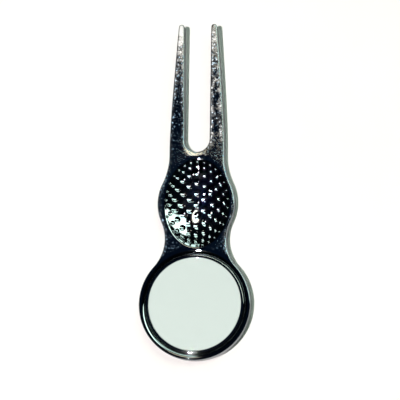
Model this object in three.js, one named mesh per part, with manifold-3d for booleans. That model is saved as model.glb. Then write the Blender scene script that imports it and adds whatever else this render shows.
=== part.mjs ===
// Divot repair tool with a lift-off ball marker. Units are millimetres.
// X is the width, +Y points to the prong tips and +Z points out of the marker's face.
// The tool lies on its back on z = 0, with the middle of its length at the origin.

import * as THREE from "three";
import { mergeVertices } from "three/addons/utils/BufferGeometryUtils.js";
import Module from "manifold-3d";

// ---------- driving dimensions ----------

const LENGTH = 85.8;
const BODY_THICKNESS = 3.2;
const EDGE_CHAMFER = 0.4;

// Ring round the marker: its top rolls over from a crest into the recess.
const RING_RADIUS = 14.15;
const RIM_CREST_RADIUS = 13.6;
const RECESS_RADIUS = 12.7;
const RECESS_FLOOR = 1.4;
const RECESS_WALL_TOP = 2.6;

// Oval pad with the thumb dish, and the fillets that lead into it.
const PAD_HALF_WIDTH = 9.84;
const PAD_CENTRE_Y = -3.2;
const PAD_RADIUS = 11.7;
const NECK_FILLET = 10.3;
const SHOULDER_FILLET = 17.2;
const DISH_CENTRE = new THREE.Vector2(0.35, -3.3);
const DISH_HALF_WIDTH = 8.3;
const DISH_HALF_LENGTH = 11.25;
const DISH_DEPTH = 1.4;
const DISH_ROUNDNESS = 1.08;
const DISH_SIDES = 36;
const DISH_BANDS = 16;

// Dimples in the dish: rings at equal polar angles, as on a ball seen from above.
const DIMPLE_RINGS = [1, 6, 12, 18, 24];
const DIMPLE_POLAR_STEP = THREE.MathUtils.degToRad(15);
const DIMPLE_RADIUS = 1;
const DIMPLE_SHRINK = 0.8;
const DIMPLE_DEPTH = 0.18;
const DIMPLE_BRIM = 1.3;
const DIMPLE_SIDES = 8;

// Prongs and the slot between them.
const PRONG_BASE_HALF_WIDTH = 7;
const PRONG_SWELL = new THREE.Vector2(7.12, 16);
const PRONG_TAPER = new THREE.Vector2(6.1, 28);
const TIP_RADIUS = 0.75;
const TIP_X = 4.2;
const SLOT_RADIUS = 3.25;
const SLOT_CENTRE_Y = 13.2;
const BEND_Y = 13.2;
const TIP_RISE_TOP = 1.1;
const TIP_RISE_BACK = 1.7;

// Magnet in its pocket in the recess floor.
const POCKET_RADIUS = 5.3;
const POCKET_FLOOR = 0.5;
const MAGNET_RADIUS = 5;
const MAGNET_GLUE = 0.1;
const MAGNET_THICKNESS = 0.7;

// Ball marker: a steel coin whose raised edge frames a white face disc.
const COIN_RADIUS = 12.45;
const COIN_THICKNESS = 1.5;
const COIN_CHAMFER = 0.2;
const COIN_SEAT_DEPTH = 0.4;
const COIN_SEAT_RADIUS = 11.75;
const FACE_RADIUS = 11.7;
const FACE_FILM = 0.05;
const FACE_THICKNESS = 0.3;

const ROUND_SEGMENTS = 64;

// ---------- values that follow from them ----------

const TIP_Y = LENGTH / 2;
const RING_CENTRE_Y = RING_RADIUS - LENGTH / 2;
const PAD_CENTRE = new THREE.Vector2(PAD_HALF_WIDTH - PAD_RADIUS, PAD_CENTRE_Y);

// ---------- solids ----------

const wasm = await Module();
wasm.setup();

function solidFrom(geometry) {
  const bare = geometry.clone();
  bare.deleteAttribute("normal");
  bare.deleteAttribute("uv");
  const merged = mergeVertices(bare, 1e-4);
  const mesh = new wasm.Mesh({
    numProp: 3,
    vertProperties: merged.attributes.position.array,
    triVerts: new Uint32Array(merged.index.array),
  });
  return new wasm.Manifold(mesh);
}

function geometryFrom(solid) {
  const mesh = solid.getMesh();
  const geometry = new THREE.BufferGeometry();
  geometry.setAttribute("position", new THREE.BufferAttribute(mesh.vertProperties, 3));
  geometry.setIndex(new THREE.BufferAttribute(mesh.triVerts, 1));
  geometry.computeVertexNormals();
  return geometry;
}

// A solid of revolution about the vertical line through (0, centreY). Each profile point is [radius, height].
function turned(profile, centreY, segments = ROUND_SEGMENTS) {
  const points = profile.map(([radius, height]) => new THREE.Vector2(radius, height));
  const geometry = new THREE.LatheGeometry(points, segments);
  geometry.rotateX(Math.PI / 2);
  geometry.translate(0, centreY, 0);
  return geometry;
}

function disc(radius, base, top, centreY) {
  return turned([[0, base], [radius, base], [radius, top], [0, top]], centreY);
}

// ---------- outline of the body ----------

function arc(centre, radius, from, to, steps) {
  const points = [];
  for (let i = 0; i <= steps; i += 1) {
    const angle = from + ((to - from) * i) / steps;
    points.push(new THREE.Vector2(Math.cos(angle), Math.sin(angle)).multiplyScalar(radius).add(centre));
  }
  return points;
}

function angleTo(from, to) {
  return to.clone().sub(from).angle();
}

// Centre of a circle that touches two others from outside, on the side away from the centre line.
function touchingCentre(low, lowRadius, high, highRadius, radius) {
  const between = high.clone().sub(low);
  const span = between.length();
  const toLow = lowRadius + radius;
  const toHigh = highRadius + radius;
  const along = (span * span + toLow * toLow - toHigh * toHigh) / (2 * span);
  const aside = Math.sqrt(toLow * toLow - along * along);
  const direction = between.normalize();
  const sideways = new THREE.Vector2(direction.y, -direction.x);
  return low.clone().addScaledVector(direction, along).addScaledVector(sideways, aside);
}

// Right half of the outline, from the foot of the ring up the outside, round a tip and down the slot.
function rightHalf() {
  const ring = new THREE.Vector2(0, RING_CENTRE_Y);
  const neck = touchingCentre(ring, RING_RADIUS, PAD_CENTRE, PAD_RADIUS, NECK_FILLET);
  const shoulderX = PRONG_BASE_HALF_WIDTH + SHOULDER_FILLET;
  const shoulderRise = Math.sqrt((PAD_RADIUS + SHOULDER_FILLET) ** 2 - (shoulderX - PAD_CENTRE.x) ** 2);
  const shoulder = new THREE.Vector2(shoulderX, PAD_CENTRE_Y + shoulderRise);
  const tip = new THREE.Vector2(TIP_X, TIP_Y - TIP_RADIUS);
  const slot = new THREE.Vector2(0, SLOT_CENTRE_Y);

  const ringArc = arc(ring, RING_RADIUS, -Math.PI / 2, angleTo(ring, neck), 28);
  const neckArc = arc(neck, NECK_FILLET, angleTo(neck, ring), angleTo(neck, PAD_CENTRE), 12);
  const padStart = angleTo(PAD_CENTRE, neck) - 2 * Math.PI;
  const padArc = arc(PAD_CENTRE, PAD_RADIUS, padStart, angleTo(PAD_CENTRE, shoulder), 16);
  const shoulderArc = arc(shoulder, SHOULDER_FILLET, angleTo(shoulder, PAD_CENTRE), Math.PI, 8);
  const outerEdge = new THREE.CubicBezierCurve(
    new THREE.Vector2(PRONG_BASE_HALF_WIDTH, shoulder.y),
    PRONG_SWELL,
    PRONG_TAPER,
    new THREE.Vector2(TIP_X + TIP_RADIUS, tip.y),
  ).getPoints(12);
  const tipArc = arc(tip, TIP_RADIUS, 0, Math.PI, 10);
  const slotArc = arc(slot, SLOT_RADIUS, 0, -Math.PI / 2, 10);

  const parts = [ringArc, neckArc.slice(1), padArc.slice(1), shoulderArc.slice(1)];
  return [...parts.flat(), ...outerEdge.slice(1), ...tipArc.slice(1), ...slotArc];
}

function wholeOutline() {
  const right = rightHalf();
  const left = right.slice(1, -1).map((point) => new THREE.Vector2(-point.x, point.y));
  return [...right, ...left.reverse()];
}

// Distance moved inwards by each outline point for one millimetre of inset.
function inwardSteps(outline) {
  return outline.map((point, i) => {
    const before = outline[(i + outline.length - 1) % outline.length];
    const after = outline[(i + 1) % outline.length];
    const first = point.clone().sub(before).normalize();
    const second = after.clone().sub(point).normalize();
    const tangent = first.clone().add(second).normalize();
    const stretch = 1 / tangent.dot(first);
    return new THREE.Vector2(-tangent.y, tangent.x).multiplyScalar(stretch);
  });
}

function prongLift(y, rise) {
  return rise * Math.max(0, (y - BEND_Y) / (TIP_Y - BEND_Y));
}

// A plate with chamfered edges: the outline is repeated at four heights and closed at both ends.
function plate(outline) {
  const steps = inwardSteps(outline);
  const layers = [
    { inset: EDGE_CHAMFER, height: 0, rise: TIP_RISE_BACK },
    { inset: 0, height: EDGE_CHAMFER, rise: TIP_RISE_BACK },
    { inset: 0, height: BODY_THICKNESS - EDGE_CHAMFER, rise: TIP_RISE_TOP },
    { inset: EDGE_CHAMFER, height: BODY_THICKNESS, rise: TIP_RISE_TOP },
  ];
  const count = outline.length;
  const positions = [];
  for (const { inset, height, rise } of layers) {
    outline.forEach((point, i) => {
      const moved = point.clone().addScaledVector(steps[i], inset);
      positions.push(moved.x, moved.y, height + prongLift(moved.y, rise));
    });
  }
  const faces = [];
  for (let layer = 0; layer + 1 < layers.length; layer += 1) {
    for (let i = 0; i < count; i += 1) {
      const low = layer * count + i;
      const lowNext = layer * count + ((i + 1) % count);
      faces.push(low, lowNext, lowNext + count, low, lowNext + count, low + count);
    }
  }
  const inner = outline.map((point, i) => point.clone().addScaledVector(steps[i], EDGE_CHAMFER));
  const lastLayer = (layers.length - 1) * count;
  for (const [a, b, c] of THREE.ShapeUtils.triangulateShape(inner, [])) {
    faces.push(a, c, b);
    faces.push(lastLayer + a, lastLayer + b, lastLayer + c);
  }
  const geometry = new THREE.BufferGeometry();
  geometry.setAttribute("position", new THREE.Float32BufferAttribute(positions, 3));
  geometry.setIndex(faces);
  return geometry;
}

// ---------- the cast body ----------

// Profile points on a stretch of an ellipse; angles are in degrees from the outward direction.
function ellipseStretch(centreRadius, centreHeight, across, up, from, to, steps = 5) {
  const points = [];
  for (let i = 0; i <= steps; i += 1) {
    const angle = THREE.MathUtils.degToRad(from + ((to - from) * i) / steps);
    points.push([centreRadius + across * Math.cos(angle), centreHeight + up * Math.sin(angle)]);
  }
  return points;
}

function recessCutter() {
  const clearOfRim = BODY_THICKNESS + 1;
  const across = RIM_CREST_RADIUS - RECESS_RADIUS;
  const up = BODY_THICKNESS - RECESS_WALL_TOP;
  return turned(
    [
      [0, RECESS_FLOOR],
      [RECESS_RADIUS, RECESS_FLOOR],
      ...ellipseStretch(RIM_CREST_RADIUS, RECESS_WALL_TOP, across, up, 180, 90),
      [RIM_CREST_RADIUS, clearOfRim],
      [0, clearOfRim],
    ],
    RING_CENTRE_Y,
  );
}

function pocketCutter() {
  return disc(POCKET_RADIUS, POCKET_FLOOR, RECESS_FLOOR + 1, RING_CENTRE_Y);
}

// Drop of the dish's surface below the body's top, at a distance given as a share of its half axes.
function dishDrop(share) {
  const rimHeight = Math.sqrt(DISH_ROUNDNESS ** 2 - 1);
  const surfaceHeight = Math.sqrt(DISH_ROUNDNESS ** 2 - share ** 2);
  return (DISH_DEPTH * (surfaceHeight - rimHeight)) / (DISH_ROUNDNESS - rimHeight);
}

// The dish is the lower end of an ellipsoid whose widest level lies above the body's top.
function dishCutter() {
  const rimHeight = Math.sqrt(DISH_ROUNDNESS ** 2 - 1);
  const verticalScale = DISH_DEPTH / (DISH_ROUNDNESS - rimHeight);
  const geometry = new THREE.SphereGeometry(DISH_ROUNDNESS, DISH_SIDES, DISH_BANDS);
  geometry.rotateX(Math.PI / 2);
  geometry.scale(DISH_HALF_WIDTH, DISH_HALF_LENGTH, verticalScale);
  geometry.translate(DISH_CENTRE.x, DISH_CENTRE.y, BODY_THICKNESS + rimHeight * verticalScale);
  return geometry;
}

// A shallow bowl on the z axis that cuts one dimple where the surface passes through its origin.
function dimpleBowl(radius) {
  const level = (reach) => [radius * reach, DIMPLE_DEPTH * (reach * reach - 1)];
  const brim = level(DIMPLE_BRIM);
  const profile = [level(0), level(0.6), level(1), brim, [0, brim[1] + radius]];
  return turned(profile, 0, DIMPLE_SIDES);
}

function dimpleCutters() {
  const cutters = [];
  DIMPLE_RINGS.forEach((count, ring) => {
    const polar = ring * DIMPLE_POLAR_STEP;
    const share = Math.sin(polar);
    const slope = (dishDrop(share + 1e-3) - dishDrop(share)) / 1e-3;
    const radius = DIMPLE_RADIUS * Math.cos(polar) ** DIMPLE_SHRINK;
    for (let i = 0; i < count; i += 1) {
      const turn = Math.PI / 2 + (2 * Math.PI * i) / count;
      const x = DISH_HALF_WIDTH * share * Math.cos(turn);
      const y = DISH_HALF_LENGTH * share * Math.sin(turn);
      const tilt = new THREE.Vector3(
        (slope * Math.cos(turn)) / DISH_HALF_WIDTH,
        (slope * Math.sin(turn)) / DISH_HALF_LENGTH,
        1,
      ).normalize();
      const upright = new THREE.Vector3(0, 0, 1);
      const bowl = dimpleBowl(radius);
      bowl.applyQuaternion(new THREE.Quaternion().setFromUnitVectors(upright, tilt));
      bowl.translate(DISH_CENTRE.x + x, DISH_CENTRE.y + y, BODY_THICKNESS - dishDrop(share));
      cutters.push(bowl);
    }
  });
  return cutters;
}

function toolBody() {
  let body = solidFrom(plate(wholeOutline()));
  for (const cutter of [recessCutter(), pocketCutter(), dishCutter(), ...dimpleCutters()]) {
    body = body.subtract(solidFrom(cutter));
  }
  return geometryFrom(body);
}

// ---------- magnet and marker ----------

const MAGNET_BASE = POCKET_FLOOR + MAGNET_GLUE;
const SEAT_HEIGHT = RECESS_FLOOR + COIN_THICKNESS - COIN_SEAT_DEPTH;
const FACE_BASE = SEAT_HEIGHT + FACE_FILM;

function markerCoin() {
  const top = RECESS_FLOOR + COIN_THICKNESS;
  return turned(
    [
      [0, RECESS_FLOOR],
      [COIN_RADIUS - COIN_CHAMFER, RECESS_FLOOR],
      [COIN_RADIUS, RECESS_FLOOR + COIN_CHAMFER],
      [COIN_RADIUS, top - COIN_CHAMFER],
      [COIN_RADIUS - COIN_CHAMFER, top],
      [COIN_SEAT_RADIUS, top],
      [COIN_SEAT_RADIUS, SEAT_HEIGHT],
      [0, SEAT_HEIGHT],
    ],
    RING_CENTRE_Y,
  );
}

// ---------- assembly ----------

const nickel = new THREE.MeshStandardMaterial({ color: 0x9aa0a2, roughness: 0.12, metalness: 1 });
const magnetPlating = new THREE.MeshStandardMaterial({ color: 0xa9a9a4, roughness: 0.3, metalness: 1 });
const coinSteel = new THREE.MeshStandardMaterial({ color: 0x8e9496, roughness: 0.2, metalness: 1 });
const glue = new THREE.MeshStandardMaterial({ color: 0xb9b08c, roughness: 0.5, metalness: 0 });
const film = new THREE.MeshStandardMaterial({ color: 0xd8dcd8, roughness: 0.4, metalness: 0 });
const faceWhite = new THREE.MeshStandardMaterial({ color: 0xdfefe9, roughness: 0.45, metalness: 0 });

function named(name, geometry, material) {
  const mesh = new THREE.Mesh(geometry, material);
  mesh.name = name;
  return mesh;
}

const tool = new THREE.Group();
const magnetTop = MAGNET_BASE + MAGNET_THICKNESS;
tool.add(
  named("tool_body", toolBody(), nickel),
  named("magnet_glue", disc(MAGNET_RADIUS, POCKET_FLOOR, MAGNET_BASE, RING_CENTRE_Y), glue),
  named("magnet", disc(MAGNET_RADIUS, MAGNET_BASE, magnetTop, RING_CENTRE_Y), magnetPlating),
);

const marker = new THREE.Group();
const faceTop = FACE_BASE + FACE_THICKNESS;
marker.add(
  named("marker_coin", markerCoin(), coinSteel),
  named("marker_film", disc(FACE_RADIUS, SEAT_HEIGHT, FACE_BASE, RING_CENTRE_Y), film),
  named("marker_face", disc(FACE_RADIUS, FACE_BASE, faceTop, RING_CENTRE_Y), faceWhite),
);

const assembly = new THREE.Group();
assembly.add(tool, marker);

export default assembly;
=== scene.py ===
import math

import bpy
import numpy as np
from mathutils import Matrix, Vector
from mathutils.geometry import delaunay_2d_cdt


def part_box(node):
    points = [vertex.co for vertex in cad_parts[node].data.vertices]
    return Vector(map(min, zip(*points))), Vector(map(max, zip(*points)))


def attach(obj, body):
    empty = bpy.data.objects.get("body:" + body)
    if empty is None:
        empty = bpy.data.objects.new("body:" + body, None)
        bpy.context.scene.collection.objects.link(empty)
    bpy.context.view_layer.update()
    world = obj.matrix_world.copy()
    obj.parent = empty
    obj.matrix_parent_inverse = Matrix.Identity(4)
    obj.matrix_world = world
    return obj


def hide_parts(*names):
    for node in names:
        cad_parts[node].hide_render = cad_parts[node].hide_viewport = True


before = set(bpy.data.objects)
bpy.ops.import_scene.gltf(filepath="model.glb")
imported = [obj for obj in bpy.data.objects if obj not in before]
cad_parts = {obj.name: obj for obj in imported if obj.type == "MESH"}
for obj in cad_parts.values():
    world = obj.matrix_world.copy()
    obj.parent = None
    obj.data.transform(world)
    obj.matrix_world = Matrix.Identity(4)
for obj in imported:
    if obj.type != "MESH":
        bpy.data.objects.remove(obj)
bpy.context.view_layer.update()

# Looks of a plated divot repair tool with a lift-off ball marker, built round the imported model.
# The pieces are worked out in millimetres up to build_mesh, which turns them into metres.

# ---------- sizes read from the frame ----------

MM = 0.001


def box_mm(node):
    low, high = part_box(node)
    return np.array(low) / MM, np.array(high) / MM


BODY_LOW, BODY_HIGH = box_mm("tool_body")
COIN_LOW, COIN_HIGH = box_mm("marker_coin")
FACE_LOW, FACE_HIGH = box_mm("marker_face")
MAGNET_LOW, MAGNET_HIGH = box_mm("magnet")
GLUE_LOW, GLUE_HIGH = box_mm("magnet_glue")

TIP_Y = BODY_HIGH[1]
RING_RADIUS = (BODY_HIGH[0] - BODY_LOW[0]) / 2
RING_CENTRE = np.array([0.0, (COIN_LOW[1] + COIN_HIGH[1]) / 2])
RECESS_FLOOR = COIN_LOW[2]
POCKET_FLOOR = GLUE_LOW[2]
FILM = 0.05
FILM_INSET = 0.1
FILM_EDGE = 0.02
FACE_GAP = 0.05
FACE_EDGE = 0.07
FACE_CROWN = 0.01
MAGNET_EDGE = 0.12

# ---------- sizes of the casting, in millimetres ----------

BODY_THICKNESS = 3.2
TOP_ROUND = 0.35
BACK_ROUND = 0.45

RIM_CREST_RADIUS = 13.6
RECESS_RADIUS = 12.7
RECESS_WALL_TOP = 2.6
RECESS_CORNER = 0.25
POCKET_RADIUS = 5.3

PAD_HALF_WIDTH = 9.84
PAD_CENTRE_Y = -3.2
PAD_RADIUS = 11.7
NECK_FILLET = 10.3
SHOULDER_FILLET = 17.2

DISH_CENTRE = np.array([0.35, -3.3])
DISH_AXES = np.array([8.3, 11.25])
DISH_DEPTH = 1.4
DISH_ROUNDNESS = 1.08
DISH_RIM_BLEND = 0.1
DISH_REACH = 1.03

# The dish's rings of points lie closer together beyond this share of its half axes.
DISH_FINE_FROM = 0.94
DISH_INNER_RINGS = 83
DISH_RIM_RINGS = 15

DIMPLE_RINGS = [1, 6, 12, 18, 24, 30]
DIMPLE_POLAR_STEP = math.radians(15)
DIMPLE_RADIUS = 1.0
DIMPLE_SHRINK = 0.8
DIMPLE_DEPTH = 0.18
DIMPLE_BLEND = 0.02
DIMPLE_MARGIN = 1.4

PRONG_BASE_HALF_WIDTH = 7.0
PRONG_SWELL = (7.12, 16.0)
PRONG_TAPER = (6.1, 28.0)
TIP_RADIUS = 0.75
TIP_X = 4.2
SLOT_RADIUS = 3.25
SLOT_CENTRE_Y = 13.2
BEND_Y = 13.2
BEND_BLEND = 5.0
TIP_RISE_TOP = 1.1
TIP_RISE_BACK = 1.7

# Polishing wears the top down near its edges, less and less towards the back.
BUFFING_DEPTH = 0.09
BUFFING_WIDTH = 0.9
BUFFING_CELL = 0.15
BUFFING_MARGIN = 4 * BUFFING_WIDTH
BUFFING_FADE_POWER = 4

# Away from the ring and the dish, the flats' polish marks fade in over this width.
PEEL_FADE = 0.8

OUTLINE_STEP = 0.28
TIP_STEP = 0.1
SKIN_STEP = 0.6
TURNED_STEPS = 288
DISH_STEPS = 420
BACK_ROUND_LAYERS = 7
TOP_ROUND_LAYERS = 9

# ---------- outline ----------


def arc(centre, radius, start, end, step=OUTLINE_STEP):
    count = max(8, math.ceil(abs(end - start) * radius / step))
    angles = np.linspace(start, end, count + 1)
    return np.asarray(centre) + radius * np.stack([np.cos(angles), np.sin(angles)], axis=1)


def line(start, end):
    start, end = np.asarray(start, float), np.asarray(end, float)
    count = max(1, math.ceil(np.linalg.norm(end - start) / OUTLINE_STEP))
    return start + (end - start) * np.linspace(0, 1, count + 1)[:, None]


def bezier(points):
    a, b, c, d = (np.asarray(point, float) for point in points)
    count = math.ceil(np.linalg.norm(d - a) / OUTLINE_STEP)
    t = np.linspace(0, 1, count + 1)[:, None]
    s = 1 - t
    return s**3 * a + 3 * s * s * t * b + 3 * s * t * t * c + t**3 * d


def angle_to(start, end):
    return math.atan2(end[1] - start[1], end[0] - start[0])


def touching_centre(low, low_radius, high, high_radius, radius):
    """Centre of a circle that touches two others from outside, to the right of the line between them."""
    between = high - low
    span = np.linalg.norm(between)
    to_low, to_high = low_radius + radius, high_radius + radius
    along = (span**2 + to_low**2 - to_high**2) / (2 * span)
    aside = math.sqrt(to_low**2 - along**2)
    direction = between / span
    return low + direction * along + np.array([direction[1], -direction[0]]) * aside


def body_outline():
    """The casting's outline seen from above, anticlockwise, from the foot of the ring."""
    pad = np.array([PAD_HALF_WIDTH - PAD_RADIUS, PAD_CENTRE_Y])
    neck = touching_centre(RING_CENTRE, RING_RADIUS, pad, PAD_RADIUS, NECK_FILLET)
    shoulder_x = PRONG_BASE_HALF_WIDTH + SHOULDER_FILLET
    rise = math.sqrt((PAD_RADIUS + SHOULDER_FILLET) ** 2 - (shoulder_x - pad[0]) ** 2)
    shoulder = np.array([shoulder_x, PAD_CENTRE_Y + rise])
    tip = np.array([TIP_X, TIP_Y - TIP_RADIUS])
    prong_foot = (PRONG_BASE_HALF_WIDTH, shoulder[1])
    prong_end = (TIP_X + TIP_RADIUS, tip[1])
    pieces = [
        arc(RING_CENTRE, RING_RADIUS, -math.pi / 2, angle_to(RING_CENTRE, neck)),
        arc(neck, NECK_FILLET, angle_to(neck, RING_CENTRE) + 2 * math.pi, angle_to(neck, pad)),
        arc(pad, PAD_RADIUS, angle_to(pad, neck), angle_to(pad, shoulder)),
        arc(shoulder, SHOULDER_FILLET, angle_to(shoulder, pad) + 2 * math.pi, math.pi),
        bezier([prong_foot, PRONG_SWELL, PRONG_TAPER, prong_end]),
        arc(tip, TIP_RADIUS, 0, math.pi, TIP_STEP),
        line((TIP_X - TIP_RADIUS, tip[1]), (SLOT_RADIUS, SLOT_CENTRE_Y)),
        arc((0, SLOT_CENTRE_Y), SLOT_RADIUS, 0, -math.pi / 2),
    ]
    right = np.concatenate([pieces[0]] + [piece[1:] for piece in pieces[1:]])
    left = (right[1:-1] * [-1, 1])[::-1]
    return np.concatenate([right, left])


def unit_circle(count):
    turns = np.linspace(0, 2 * math.pi, count, endpoint=False)
    return np.stack([np.cos(turns), np.sin(turns)], axis=1)


def outward_normals(outline):
    before = outline - np.roll(outline, 1, axis=0)
    after = np.roll(outline, -1, axis=0) - outline
    before /= np.linalg.norm(before, axis=1, keepdims=True)
    after /= np.linalg.norm(after, axis=1, keepdims=True)
    tangent = before + after
    tangent /= np.linalg.norm(tangent, axis=1, keepdims=True)
    return np.stack([tangent[:, 1], -tangent[:, 0]], axis=1)


# ---------- patches: each is (points, normals, faces) ----------


def grid_faces(rows, columns, closed, flip=False):
    faces = []
    for row in range(rows - 1):
        for column in range(columns if closed else columns - 1):
            after = (column + 1) % columns
            quad = [row * columns + column, row * columns + after,
                    (row + 1) * columns + after, (row + 1) * columns + column]
            faces.append(quad[::-1] if flip else quad)
    return faces


def edge_strip(outline, normals):
    """The rounded top edge, the side wall and the rounded back edge, from the back up."""
    layers = []
    for angle in np.linspace(-math.pi / 2, 0, BACK_ROUND_LAYERS):
        layers.append((BACK_ROUND * (1 - math.cos(angle)), BACK_ROUND * (1 + math.sin(angle)), angle))
    for angle in np.linspace(0, math.pi / 2, TOP_ROUND_LAYERS):
        height = BODY_THICKNESS - TOP_ROUND * (1 - math.sin(angle))
        layers.append((TOP_ROUND * (1 - math.cos(angle)), height, angle))
    points, directions = [], []
    for inset, height, angle in layers:
        flat = outline - normals * inset
        points.append(np.column_stack([flat, np.full(len(flat), height)]))
        directions.append(np.column_stack([normals * math.cos(angle), np.full(len(flat), math.sin(angle))]))
    return np.concatenate(points), np.concatenate(directions), grid_faces(len(layers), len(outline), True)


def inside_loop(points, loop):
    """Whether each point lies inside a closed loop, by counting the loop's edges that lie above it."""
    after = np.roll(loop, -1, axis=0)
    crossings = np.zeros(len(points), int)
    for (ax, ay), (bx, by) in zip(loop, after):
        spans = (ax <= points[:, 0]) != (bx <= points[:, 0])
        if spans.any():
            edge_y = ay + (points[:, 0] - ax) * (by - ay) / (bx - ax if bx != ax else 1)
            crossings += spans & (edge_y > points[:, 1])
    return crossings % 2 == 1


def inner_points(boundary, holes):
    """A staggered grid of points inside the boundary and outside the holes, clear of every edge."""
    low, high = boundary.min(axis=0), boundary.max(axis=0)
    rows = np.arange(low[1], high[1], SKIN_STEP * math.sqrt(0.75))
    columns = np.arange(low[0], high[0], SKIN_STEP)
    grid = np.array([(x + SKIN_STEP / 2 * (row % 2), y) for row, y in enumerate(rows) for x in columns])
    grid = grid[inside_loop(grid, boundary)]
    for loop in holes:
        grid = grid[~inside_loop(grid, loop)]
    edges = np.concatenate([boundary] + holes)
    gap = SKIN_STEP / 2
    return np.array([point for point in grid if ((edges - point) ** 2).sum(axis=1).min() > gap**2])


def flat_skin(boundary, holes, height, up):
    """A flat sheet of triangles inside the boundary and outside the holes."""
    points = np.concatenate([boundary] + holes + [inner_points(boundary, holes)])
    edges, start = [], 0
    for loop in [boundary] + holes:
        count = len(loop)
        edges += [(start + i, start + (i + 1) % count) for i in range(count)]
        start += count
    result = delaunay_2d_cdt([Vector(point) for point in points], edges, [], 1, 1e-7)
    flat = np.array([points[source[0]] for source in result[3]])
    faces = np.array(result[2])
    middles = flat[faces].mean(axis=1)
    for loop in holes:
        outside = ~inside_loop(middles, loop)
        faces, middles = faces[outside], middles[outside]
    a, b, c = flat[faces[:, 0]], flat[faces[:, 1]], flat[faces[:, 2]]
    turning = (b[:, 0] - a[:, 0]) * (c[:, 1] - a[:, 1]) - (b[:, 1] - a[:, 1]) * (c[:, 0] - a[:, 0])
    kept = (turning > 0) == (up > 0)
    faces = [list(face) if keep else list(face[::-1]) for face, keep in zip(faces, kept)]
    normals = np.zeros((len(flat), 3))
    normals[:, 2] = up
    return np.column_stack([flat, np.full(len(flat), height)]), normals, faces


def smooth_max(a, b, blend):
    """The larger of two values, rounded over where they are closer than blend."""
    gap = np.clip((a - b) / blend, -1, 1)
    return np.maximum(a, b) + blend * (1 - np.abs(gap)) ** 2 / 4


def dish_drop(share):
    """Depth of the bare dish at a share of its half axes; straight on past the rim."""
    rim = math.sqrt(DISH_ROUNDNESS**2 - 1)
    scale = DISH_DEPTH / (DISH_ROUNDNESS - rim)
    inside = scale * (np.sqrt(np.maximum(DISH_ROUNDNESS**2 - np.minimum(share, 1) ** 2, 0)) - rim)
    return inside - np.maximum(share - 1, 0) * scale / rim


def dimple_places():
    """Each dimple's place from the dish's centre and its radius, as on a ball's rings seen from above."""
    for ring, count in enumerate(DIMPLE_RINGS):
        polar = ring * DIMPLE_POLAR_STEP
        radius = DIMPLE_RADIUS * math.cos(polar) ** DIMPLE_SHRINK
        for i in range(count):
            turn = math.pi / 2 + 2 * math.pi * i / count
            yield DISH_AXES * math.sin(polar) * np.array([math.cos(turn), math.sin(turn)]), radius


def dish_depth(offsets):
    """Depth below the flat top at places given from the dish's centre."""
    share = np.linalg.norm(offsets / DISH_AXES, axis=1)
    depth = smooth_max(dish_drop(share), 0.0, DISH_RIM_BLEND)
    for place, radius in dimple_places():
        away = offsets - place
        near = np.nonzero(np.abs(away).max(axis=1) < radius * DIMPLE_MARGIN)[0]
        reach = (away[near] ** 2).sum(axis=1) / radius**2
        depth[near] += smooth_max(DIMPLE_DEPTH * (1 - reach), 0.0, DIMPLE_BLEND)
    return depth


def dish_patch():
    """The dimpled dish as rings of points round its centre, out to where the top is flat again."""
    inner = np.linspace(0, DISH_FINE_FROM, DISH_INNER_RINGS + 1)[1:]
    rim = np.linspace(DISH_FINE_FROM, DISH_REACH, DISH_RIM_RINGS + 1)[1:]
    shares = np.concatenate([inner, rim])
    offsets = (shares[:, None, None] * unit_circle(DISH_STEPS)[None] * DISH_AXES).reshape(-1, 2)
    offsets = np.concatenate([offsets, [[0.0, 0.0]]])
    probe = 1e-4
    depth = dish_depth(offsets)
    depth[-1 - DISH_STEPS:-1] = 0
    slope_x = (dish_depth(offsets + [probe, 0]) - dish_depth(offsets - [probe, 0])) / (2 * probe)
    slope_y = (dish_depth(offsets + [0, probe]) - dish_depth(offsets - [0, probe])) / (2 * probe)
    normals = np.column_stack([slope_x, slope_y, np.ones(len(offsets))])
    points = np.column_stack([offsets + DISH_CENTRE, BODY_THICKNESS - depth])
    faces = grid_faces(len(shares), DISH_STEPS, True, flip=True)
    centre = len(offsets) - 1
    faces += [[centre, i, (i + 1) % DISH_STEPS] for i in range(DISH_STEPS)]
    return points, normals, faces


def dish_loop():
    return DISH_CENTRE + DISH_REACH * DISH_AXES * unit_circle(DISH_STEPS)


def crest_loop():
    return RING_CENTRE + RIM_CREST_RADIUS * unit_circle(TURNED_STEPS)


def turned_patch(profile):
    """A surface turned about the ring's centre; each profile entry is (radius, height, normal angle)."""
    circle = unit_circle(TURNED_STEPS)
    points, normals, faces = [], [], []
    for radius, height, angle in profile:
        ring = 1 if radius == 0 else TURNED_STEPS
        flat = RING_CENTRE + radius * circle[:ring]
        points.append(np.column_stack([flat, np.full(ring, height)]))
        outward = circle[:ring] * (math.cos(angle) if radius else 0)
        normals.append(np.column_stack([outward, np.full(ring, math.sin(angle))]))
    starts = np.cumsum([0] + [len(ring) for ring in points])
    for row in range(len(profile) - 1):
        low, high = starts[row], starts[row + 1]
        for i in range(TURNED_STEPS):
            j = (i + 1) % TURNED_STEPS
            if len(points[row]) == 1:
                faces.append([low, high + j, high + i])
            elif len(points[row + 1]) == 1:
                faces.append([low + i, low + j, high])
            else:
                faces.append([low + i, low + j, high + j, high + i])
    return np.concatenate(points), np.concatenate(normals), faces


def round_profile(centre_radius, centre_height, across, up, start, end, steps=8, inwards=1):
    """Profile entries along a stretch of an ellipse; angles in degrees, normals away from its centre."""
    entries = []
    for degrees in np.linspace(start, end, steps + 1):
        angle = math.radians(degrees)
        slope = math.atan2(math.sin(angle) / up * inwards, math.cos(angle) / across * inwards)
        radius, height = centre_radius + across * math.cos(angle), centre_height + up * math.sin(angle)
        entries.append((radius, height, slope))
    return entries


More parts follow.
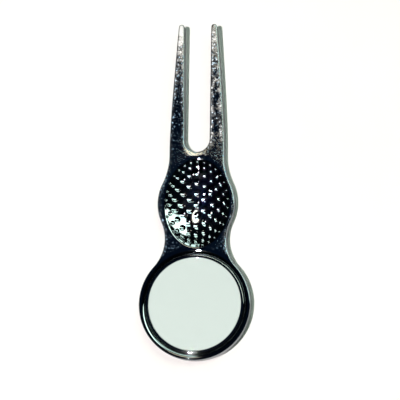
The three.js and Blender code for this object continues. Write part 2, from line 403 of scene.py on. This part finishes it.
def recess_patch():
    """From the crest of the ring over its flank into the recess, its floor and the magnet's pocket."""
    across = RIM_CREST_RADIUS - RECESS_RADIUS
    up = BODY_THICKNESS - RECESS_WALL_TOP
    flank = round_profile(RIM_CREST_RADIUS, RECESS_WALL_TOP, across, up, 90, 180, 12)
    corner = round_profile(RECESS_RADIUS - RECESS_CORNER, RECESS_FLOOR + RECESS_CORNER, RECESS_CORNER,
                           RECESS_CORNER, 0, -90, 5, inwards=-1)
    lip = 0.08
    lip_round = round_profile(POCKET_RADIUS + lip, RECESS_FLOOR - lip, lip, lip, 90, 180, 4)
    foot = round_profile(POCKET_RADIUS - lip, POCKET_FLOOR + lip, lip, lip, 0, -90, 4, inwards=-1)
    centre = [(0, POCKET_FLOOR, math.pi / 2)]
    return turned_patch(flank + corner + lip_round + foot + centre)


class Buffing:
    """How far polishing has worn the top down near its edges: the outline's inside, blurred."""

    def __init__(self, outline):
        cell, margin = BUFFING_CELL, BUFFING_MARGIN
        self.corner = outline.min(axis=0) - margin
        counts = np.ceil((outline.max(axis=0) + margin - self.corner) / cell).astype(int)
        rows, columns = np.meshgrid(np.arange(counts[0]), np.arange(counts[1]), indexing="ij")
        places = self.corner + np.column_stack([rows.reshape(-1), columns.reshape(-1)]) * cell
        filled = inside_loop(places, outline).reshape(counts).astype(float)
        reach = np.arange(-margin, margin + cell / 2, cell)
        weights = np.exp(-((reach / BUFFING_WIDTH) ** 2) / 2)
        weights /= weights.sum()
        for axis in (0, 1):
            filled = np.apply_along_axis(np.convolve, axis, filled, weights, "same")
        self.filled = filled

    def wear(self, places):
        spot = (places - self.corner) / BUFFING_CELL
        whole = np.floor(spot).astype(int)
        part = spot - whole
        part = part * part * (3 - 2 * part)
        i, j = whole.T
        low = self.filled[i, j] * (1 - part[:, 0]) + self.filled[i + 1, j] * part[:, 0]
        high = self.filled[i, j + 1] * (1 - part[:, 0]) + self.filled[i + 1, j + 1] * part[:, 0]
        return BUFFING_DEPTH * (1 - low * (1 - part[:, 1]) - high * part[:, 1])


def lift(points, buffing):
    """How much higher each point lies than on a flat plate: the prongs' bend, less the polishing."""
    zone = np.clip((points[:, 1] - BEND_Y + BEND_BLEND) / (2 * BEND_BLEND), 0, 1)
    straight = np.maximum(points[:, 1] - BEND_Y - BEND_BLEND, 0)
    share = (BEND_BLEND * zone**2 + straight) / (TIP_Y - BEND_Y)
    level = points[:, 2] / BODY_THICKNESS
    rise = share * (TIP_RISE_BACK + (TIP_RISE_TOP - TIP_RISE_BACK) * level)
    return rise - buffing.wear(points[:, :2]) * np.clip(level, 0, 1) ** BUFFING_FADE_POWER


def bend(points, normals, buffing):
    """Moves the flat plate's points up by their lift, and turns their normals to suit."""
    probe = 0.1
    slopes = []
    for step in np.eye(3) * probe:
        slopes.append((lift(points + step, buffing) - lift(points - step, buffing)) / (2 * probe))
    bent, turned = points.copy(), normals.copy()
    bent[:, 2] += lift(points, buffing)
    turned[:, 2] /= 1 + slopes[2]
    turned[:, 0] -= slopes[0] * turned[:, 2]
    turned[:, 1] -= slopes[1] * turned[:, 2]
    return bent, turned


def join(patches):
    """One set of points from several patches that share their border points."""
    points = np.concatenate([patch[0] for patch in patches])
    normals = np.concatenate([patch[1] for patch in patches])
    starts = np.cumsum([0] + [len(patch[0]) for patch in patches])
    keys = np.round(points * 1e4).astype(np.int64)
    first, where = np.unique(keys, axis=0, return_index=True, return_inverse=True)[1:]
    where = where.reshape(-1)
    faces = []
    for patch, start in zip(patches, starts):
        for face in patch[2]:
            corners = [int(where[start + corner]) for corner in face]
            corners = [c for i, c in enumerate(corners) if c != corners[i - 1]]
            if len(corners) >= 3:
                faces.append(corners)
    return points[first], normals[first], faces


def build_mesh(name, points, normals, faces):
    mesh = bpy.data.meshes.new(name)
    mesh.from_pydata((points * MM).tolist(), [], faces)
    mesh.validate()
    mesh.shade_smooth()
    normals = normals / np.linalg.norm(normals, axis=1, keepdims=True)
    mesh.normals_split_custom_set_from_vertices(normals.tolist())
    piece = bpy.data.objects.new(name, mesh)
    bpy.context.scene.collection.objects.link(piece)
    return piece


def casting():
    outline = body_outline()
    normals = outward_normals(outline)
    top_edge = outline - normals * TOP_ROUND
    back_edge = outline - normals * BACK_ROUND
    patches = [
        edge_strip(outline, normals),
        flat_skin(top_edge, [dish_loop(), crest_loop()], BODY_THICKNESS, 1),
        flat_skin(back_edge, [], 0.0, -1),
        dish_patch(),
        recess_patch(),
    ]
    points, directions, faces = join(patches)
    buffing = Buffing(outline)
    piece = build_mesh("tool_casting", *bend(points, directions, buffing), faces)
    from_ring = np.linalg.norm(points[:, :2] - RING_CENTRE, axis=1) - RING_RADIUS
    from_dish = (np.linalg.norm((points[:, :2] - DISH_CENTRE) / DISH_AXES, axis=1) - 1) * DISH_AXES[0]
    flatness = np.clip(np.minimum(from_ring, from_dish) / PEEL_FADE, 0, 1)
    edge = np.clip(buffing.wear(points[:, :2]) / BUFFING_DEPTH, 0, 1)
    for name, values in (("flatness", flatness), ("edge", edge)):
        attribute = piece.data.attributes.new(name, "FLOAT", "POINT")
        attribute.data.foreach_set("value", values)
    return piece


# ---------- marker and magnet ----------


def turned_piece(name, profile):
    return build_mesh(name, *join([turned_patch(profile)]))


def round_disc(name, radius, base, top, edge, crown=0.0):
    """A closed disc with rounded edges; crown lifts the middle of its top a little."""
    low, high = -math.pi / 2, math.pi / 2
    profile = [(0, base, low)]
    profile += round_profile(radius - edge, base + edge, edge, edge, -90, 0, 5)
    profile += round_profile(radius - edge, top - edge, edge, edge, 0, 90, 5)
    for share in (0.75, 0.5, 0.25, 0):
        reach = radius * share
        profile.append((reach, top + crown * (1 - share**2), high))
    return turned_piece(name, profile)


def marker_coin():
    base, top = COIN_LOW[2], COIN_HIGH[2]
    radius, edge = COIN_HIGH[0], 0.2
    seat_radius, seat = FACE_HIGH[0] + FACE_GAP, FACE_LOW[2] - FILM
    lip = 0.06
    profile = [(0, base, -math.pi / 2)]
    profile += round_profile(radius - edge, base + edge, edge, edge, -90, 0, 6)
    profile += round_profile(radius - edge, top - edge, edge, edge, 0, 90, 8)
    profile += round_profile(seat_radius + lip, top - lip, lip, lip, 90, 180, 4)
    profile += round_profile(seat_radius - lip, seat + lip, lip, lip, 0, -90, 3, inwards=-1)
    profile.append((0, seat, math.pi / 2))
    return turned_piece("coin_blank", profile)


def glue_meniscus():
    """Glue under the magnet, squeezed up a little into the gap round it."""
    base, top = GLUE_LOW[2], GLUE_HIGH[2]
    gap, climb = 0.01, 0.22
    inner, outer = MAGNET_HIGH[0] + gap, POCKET_RADIUS - gap
    profile = [(0, base, -math.pi / 2), (outer, base, -math.pi / 4), (outer, top + climb, 0.2)]
    for share in np.linspace(0, 1, 7):
        dip = climb * 0.6 * math.sin(math.pi * share)
        radius = outer + (inner - outer) * share
        profile.append((radius, top + climb - dip, math.pi / 2 + 0.8 * (0.5 - share)))
    profile += [(inner, top, math.pi / 2), (0, top, math.pi / 2)]
    return turned_piece("glue_fill", profile)


# ---------- materials ----------


def math_node(tree, operation, *values):
    """A Math node's result; each value is a number or another node's output."""
    node = tree.nodes.new("ShaderNodeMath")
    node.operation = operation
    for socket, value in zip(node.inputs, values):
        if isinstance(value, (int, float)):
            socket.default_value = value
        else:
            tree.links.new(value, socket)
    return node.outputs["Value"]


class Surface:
    """A node-built material with a Principled shader and helpers for the textures that drive it."""

    def __init__(self, name):
        self.material = bpy.data.materials.new(name)
        self.material.use_nodes = True
        self.tree = self.material.node_tree
        self.shader = self.tree.nodes["Principled BSDF"]
        coordinates = self.tree.nodes.new("ShaderNodeTexCoord")
        self.place, self.normal = coordinates.outputs["Object"], coordinates.outputs["Normal"]

    def add(self, kind, **settings):
        node = self.tree.nodes.new(kind)
        for key, value in settings.items():
            setattr(node, key, value)
        return node

    def link(self, source, target):
        self.tree.links.new(source, target)

    def set(self, **values):
        for key, value in values.items():
            self.shader.inputs[key.replace("_", " ")].default_value = value

    def noise(self, size_mm, detail=2.0, roughness=0.5):
        texture = self.add("ShaderNodeTexNoise")
        texture.inputs["Scale"].default_value = 1 / (size_mm * MM)
        texture.inputs["Detail"].default_value = detail
        texture.inputs["Roughness"].default_value = roughness
        self.link(self.place, texture.inputs["Vector"])
        return texture.outputs["Fac"]

    def spread(self, value, low, high, from_low=0.3, from_high=0.7):
        """Maps from_low..from_high to low..high, and holds the ends outside it."""
        node = self.add("ShaderNodeMapRange")
        numbers = {"From Min": from_low, "From Max": from_high, "To Min": low, "To Max": high}
        for key, number in numbers.items():
            node.inputs[key].default_value = number
        self.link(value, node.inputs["Value"])
        return node.outputs["Result"]

    def colour_mix(self, value, first, second):
        node = self.add("ShaderNodeMix", data_type="RGBA")
        sockets = [socket for socket in node.inputs if socket.type == "RGBA"]
        for socket, colour in zip(sockets, (first, second)):
            if isinstance(colour, tuple):
                socket.default_value = (*colour, 1)
            else:
                self.link(colour, socket)
        self.link(value, node.inputs["Factor"])
        return next(socket for socket in node.outputs if socket.type == "RGBA")

    def maths(self, operation, *values):
        return math_node(self.tree, operation, *values)

    def product(self, first, second):
        return self.maths("MULTIPLY", first, second)

    def sum(self, first, second):
        return self.maths("ADD", first, second)

    def absolute(self, value):
        return self.maths("ABSOLUTE", value)

    def between(self, share, first, second):
        """A value that goes from first to second as share goes from 0 to 1."""
        return self.sum(first, self.product(share, self.maths("SUBTRACT", second, first)))

    def attribute(self, name):
        return self.add("ShaderNodeAttribute", attribute_name=name).outputs["Fac"]

    def part(self, vector, index):
        node = self.add("ShaderNodeSeparateXYZ")
        self.link(vector, node.inputs["Vector"])
        return node.outputs[index]

    def bump(self, value, depth_mm, before=None):
        node = self.add("ShaderNodeBump")
        node.inputs["Strength"].default_value = 1.0
        node.inputs["Distance"].default_value = depth_mm * MM
        self.link(value, node.inputs["Height"])
        if before is not None:
            self.link(before, node.inputs["Normal"])
        return node.outputs["Normal"]


def bright_plating():
    """Bright plating: mirror smooth on ring and dish, speckled with painted blue glints on the flats,
    scuffed on the prongs.
    """
    s = Surface("bright_plating")
    s.set(Metallic=1.0)
    along, aside = s.part(s.place, 1), s.part(s.place, 0)
    flats = s.attribute("flatness")
    edges = s.product(s.spread(s.attribute("edge"), 0, 1, 0.08, 0.38), flats)
    # Steep surfaces are darker and duller: their near-black base colour is painted shade, standing in for
    # the dark they mirror.
    steep_shade_and_dullness = s.spread(s.absolute(s.part(s.normal, 2)), 1, 0, 0.2, 0.72)

    # The right prong is scuffed from its foot on, the left one mostly near its tip.
    left = s.spread(along, 0, 1, 17 * MM, 38 * MM)
    right = s.spread(along, 0, 0.75, 7 * MM, 13 * MM)
    side = s.spread(aside, 0, 1, -MM, MM)
    prongs = s.between(side, left, right)
    scuffs = s.product(prongs, s.spread(s.noise(1.3, 6, 0.75), 0.0, 0.18, 0.42, 0.62))
    # The specks are made rougher here, and further down they tint the base colour blue as painted blue
    # glints.
    specks = s.product(s.spread(s.noise(0.45, 2), 0, 0.15, 0.54, 0.70), flats)
    tips = s.product(s.spread(along, 0, 0.12, 33 * MM, 41 * MM), s.spread(side, 1.2, 0.5, 0, 1))
    rubbed = s.product(edges, s.spread(s.noise(0.9, 3), 0.06, 0.16))
    wear = s.sum(s.sum(specks, rubbed), s.sum(tips, scuffs))

    bare = s.colour_mix(s.spread(s.noise(2.5, 3), 0, 1), (0.42, 0.48, 0.52), (0.48, 0.53, 0.57))
    # Painted blue glints: where the specks lie, the base colour turns blue.
    blue = s.colour_mix(s.spread(specks, 0, 1, 0, 0.1), bare, (0.28, 0.48, 0.64))
    worn = s.colour_mix(s.spread(s.sum(scuffs, tips), 0, 1, 0, 0.12), blue, (0.44, 0.46, 0.45))
    # Painted shade: steep surfaces get a near-black base colour.
    s.link(s.colour_mix(steep_shade_and_dullness, worn, (0.10, 0.11, 0.12)), s.shader.inputs["Base Color"])
    polish = s.spread(s.noise(1.3, 4, 0.6), 0.01, 0.02)
    s.link(s.sum(s.sum(polish, wear), s.product(steep_shade_and_dullness, 0.25)), s.shader.inputs["Roughness"])
    waves = s.bump(s.product(s.noise(9, 1), flats), 0.025)
    peel = s.bump(s.product(s.noise(1.1, 2), flats), 0.004, waves)
    speckle = s.bump(s.product(s.noise(0.42, 3, 0.6), flats), 0.005, peel)
    s.link(speckle, s.shader.inputs["Normal"])
    return s.material


def coin_plating():
    s = Surface("coin_plating")
    s.set(Metallic=1.0)
    tone = s.spread(s.noise(1.8, 3), 0, 1)
    s.link(s.colour_mix(tone, (0.54, 0.56, 0.57), (0.62, 0.64, 0.64)), s.shader.inputs["Base Color"])
    s.link(s.spread(s.noise(0.9, 4, 0.6), 0.015, 0.04), s.shader.inputs["Roughness"])
    s.link(s.bump(s.noise(0.5, 3, 0.6), 0.001), s.shader.inputs["Normal"])
    return s.material


def magnet_plating():
    s = Surface("magnet_plating")
    s.set(Metallic=1.0)
    tone = s.spread(s.noise(1.2, 3), 0, 1)
    s.link(s.colour_mix(tone, (0.60, 0.60, 0.57), (0.70, 0.70, 0.67)), s.shader.inputs["Base Color"])
    s.link(s.spread(s.noise(0.5, 4, 0.7), 0.18, 0.34), s.shader.inputs["Roughness"])
    s.link(s.bump(s.noise(0.25, 3, 0.7), 0.003), s.shader.inputs["Normal"])
    return s.material


def white_face():
    """Satin white coating with a faint unevenness and a few specks."""
    s = Surface("white_face")
    s.set(Specular_IOR_Level=0.35)
    tone = s.spread(s.noise(5, 3), 0, 1, 0.35, 0.65)
    s.link(s.colour_mix(tone, (0.545, 0.645, 0.62), (0.55, 0.65, 0.625)), s.shader.inputs["Base Color"])
    s.link(s.spread(s.noise(1.5, 4), 0.46, 0.52), s.shader.inputs["Roughness"])
    s.link(s.bump(s.noise(0.35, 3, 0.6), 0.0006), s.shader.inputs["Normal"])
    return s.material


def adhesive_film():
    s = Surface("adhesive_film")
    tone = s.spread(s.noise(2, 3), 0, 1)
    s.link(s.colour_mix(tone, (0.66, 0.68, 0.66), (0.72, 0.73, 0.70)), s.shader.inputs["Base Color"])
    s.link(s.spread(s.noise(0.8, 3), 0.35, 0.55), s.shader.inputs["Roughness"])
    s.link(s.bump(s.noise(0.6, 3), 0.003), s.shader.inputs["Normal"])
    return s.material


def epoxy_glue():
    s = Surface("epoxy_glue")
    s.set(Specular_IOR_Level=0.5)
    tone = s.spread(s.noise(0.9, 3), 0, 1)
    s.link(s.colour_mix(tone, (0.50, 0.46, 0.32), (0.62, 0.57, 0.42)), s.shader.inputs["Base Color"])
    s.link(s.spread(s.noise(0.4, 3), 0.15, 0.35), s.shader.inputs["Roughness"])
    s.link(s.bump(s.noise(0.3, 3), 0.006), s.shader.inputs["Normal"])
    return s.material


def table_surface():
    s = Surface("table_surface")
    tone = s.spread(s.noise(40, 3), 0, 1)
    s.link(s.colour_mix(tone, (0.92, 0.93, 0.92), (0.95, 0.955, 0.95)), s.shader.inputs["Base Color"])
    s.set(Roughness=0.9, Specular_IOR_Level=0.1)
    return s.material


# ---------- assembly ----------


def place(piece, body, slot, nodes, material):
    piece.data.materials.append(material)
    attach(piece, body)
    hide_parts(*nodes)


place(casting(), "tool", "bright_plating", ["tool_body"], bright_plating())
place(round_disc("magnet_disc", MAGNET_HIGH[0], MAGNET_LOW[2], MAGNET_HIGH[2], MAGNET_EDGE),
      "tool", "magnet_plating", ["magnet"], magnet_plating())
place(glue_meniscus(), "tool", "epoxy_glue", ["magnet_glue"], epoxy_glue())
place(marker_coin(), "marker", "coin_plating", ["marker_coin"], coin_plating())
place(round_disc("film_disc", FACE_HIGH[0] - FILM_INSET, FACE_LOW[2] - FILM, FACE_LOW[2], FILM_EDGE),
      "marker", "adhesive_film", ["marker_film"], adhesive_film())
place(round_disc("face_disc", FACE_HIGH[0], FACE_LOW[2], FACE_HIGH[2] - FACE_CROWN, FACE_EDGE, FACE_CROWN),
      "marker", "white_face", ["marker_face"], white_face())

# ---------- stage, camera and lights ----------


def stage_floor():
    """A square table top, 1.2 m across."""
    half = 0.6
    mesh = bpy.data.meshes.new("table_top")
    corners = [(-half, -half, 0), (half, -half, 0), (half, half, 0), (-half, half, 0)]
    mesh.from_pydata(corners, [], [(0, 1, 2, 3)])
    mesh.materials.append(table_surface())
    floor = bpy.data.objects.new("table_top", mesh)
    bpy.context.scene.collection.objects.link(floor)


def direction(right_tilt, up_tilt):
    """Unit vector that leans from straight up by these angles in degrees, towards +X and towards +Y."""
    return Vector((math.tan(math.radians(right_tilt)), math.tan(math.radians(up_tilt)), 1)).normalized()


# How far the camera's place leans from overhead, towards +X and +Y, in degrees.
CAMERA_LEAN = (9.5, -10.0)
CAMERA_DISTANCE = 0.5
CAMERA_TARGET = Vector((0.82, -2.22, 1.6)) * MM
FRAME_WIDTH = 101 * MM
SENSOR_WIDTH = 36
TOOL_LEAN = math.radians(0.87)


def add_camera():
    back = direction(*CAMERA_LEAN)
    along = Vector((0, 1, 0))
    along = (along - back * along.dot(back)).normalized()
    across = along.cross(back)
    up = along * math.cos(TOOL_LEAN) - across * math.sin(TOOL_LEAN)
    right = up.cross(back)
    camera = bpy.data.objects.new("camera", bpy.data.cameras.new("camera"))
    camera.data.sensor_width = SENSOR_WIDTH
    camera.data.lens = SENSOR_WIDTH * CAMERA_DISTANCE / FRAME_WIDTH
    camera.data.clip_start = 0.01
    turn = Matrix((right, up, back)).transposed().to_4x4()
    camera.matrix_world = Matrix.Translation(CAMERA_TARGET + back * CAMERA_DISTANCE) @ turn
    bpy.context.scene.collection.objects.link(camera)
    bpy.context.scene.camera = camera


class Sky:
    """The room seen in the metal: soft bright shapes on a dark world, placed by their lean from overhead."""

    def __init__(self):
        world = bpy.data.worlds.new("room")
        world.use_nodes = True
        bpy.context.scene.world = world
        self.tree = world.node_tree
        self.background = self.tree.nodes["Background"]
        spot = self.tree.nodes.new("ShaderNodeTexCoord").outputs["Generated"]
        parts = self.tree.nodes.new("ShaderNodeSeparateXYZ")
        self.tree.links.new(spot, parts.inputs["Vector"])
        x, y, z = parts.outputs
        self.lean_x, self.lean_y = self.lean(x, z), self.lean(y, z)
        self.total = None

    def math(self, operation, *values):
        return math_node(self.tree, operation, *values)

    def lean(self, part, height):
        """Degrees from overhead, towards the axis that part is measured along."""
        return self.math("MULTIPLY", self.math("ARCTAN2", part, height), 180 / math.pi)

    def ramp(self, value, low, high):
        node = self.tree.nodes.new("ShaderNodeMapRange")
        node.interpolation_type = "SMOOTHSTEP"
        node.inputs["From Min"].default_value = low
        node.inputs["From Max"].default_value = high
        self.tree.links.new(value, node.inputs["Value"])
        return node.outputs["Result"]

    def add(self, amount, colour):
        scale = self.tree.nodes.new("ShaderNodeVectorMath")
        scale.operation = "SCALE"
        scale.inputs[0].default_value = colour
        self.tree.links.new(amount, scale.inputs["Scale"])
        if self.total is not None:
            both = self.tree.nodes.new("ShaderNodeVectorMath")
            self.tree.links.new(self.total, both.inputs[0])
            self.tree.links.new(scale.outputs[0], both.inputs[1])
            self.total = both.outputs[0]
        else:
            self.total = scale.outputs[0]

    def window(self, x_range, y_range, blur, colour):
        """A bright rectangle; blur is the width of its soft border in degrees."""
        amount = None
        for lean, (low, high) in ((self.lean_x, x_range), (self.lean_y, y_range)):
            for near, far in ((low, low + blur), (high, high - blur)):
                side = self.ramp(lean, near, far)
                amount = side if amount is None else self.math("MULTIPLY", amount, side)
        self.add(amount, colour)

    def glow(self, lean, inner, outer, colour):
        """A round glow that is full within inner degrees of its centre and gone at outer degrees."""
        away_x = self.math("SUBTRACT", self.lean_x, lean[0])
        away_y = self.math("SUBTRACT", self.lean_y, lean[1])
        squares = self.math("ADD", self.math("POWER", away_x, 2), self.math("POWER", away_y, 2))
        self.add(self.ramp(self.math("SQRT", squares), outer, inner), colour)

    def finish(self):
        self.tree.links.new(self.total, self.background.inputs["Color"])


# Leans from overhead towards +X and +Y, in degrees; the flash's height and radius are in millimetres.
LAMP_LEAN = (-8.2, 15.5)
HAZE_LEAN = (-9.5, 9)
FLASH_LEAN = (-10.4, -5.9)
FLASH_HEIGHT = 1200
FLASH_RADIUS = 12
FLASH_RADIANCE = (10500, 9770, 9650)


def add_sky():
    """A nearly black room, a faint blue haze, a cream lamp with its halo, and two pale windows."""
    sky = Sky()
    sky.glow((0, 0), 0, 100, (0.001, 0.002, 0.004))
    sky.glow(HAZE_LEAN, 4, 11, (0.001, 0.004, 0.011))
    sky.glow(LAMP_LEAN, 2.7, 3.3, (2.4, 2.05, 1.4))
    sky.glow(LAMP_LEAN, 2.4, 4.8, (0.14, 0.10, 0.085))
    sky.window((0, 70), (15, 30), 2, (2.7, 3.3, 2.8))
    sky.window((-20, 40), (42, 60), 4, (1.8, 2.3, 1.95))
    sky.finish()


def add_flash():
    """A small round lamp high above, level and facing down."""
    x, y = (math.tan(math.radians(lean)) * FLASH_HEIGHT for lean in FLASH_LEAN)
    brightest = max(FLASH_RADIANCE)
    data = bpy.data.lights.new("flash", "AREA")
    data.shape = "DISK"
    data.size = 2 * FLASH_RADIUS * MM
    data.energy = brightest * math.pi * math.pi * (FLASH_RADIUS * MM) ** 2
    data.color = [value / brightest for value in FLASH_RADIANCE]
    flash = bpy.data.objects.new("flash", data)
    flash.location = (x * MM, y * MM, FLASH_HEIGHT * MM)
    bpy.context.scene.collection.objects.link(flash)


stage_floor()
add_camera()
add_sky()
add_flash()
bpy.context.scene.view_settings.view_transform = "Standard"
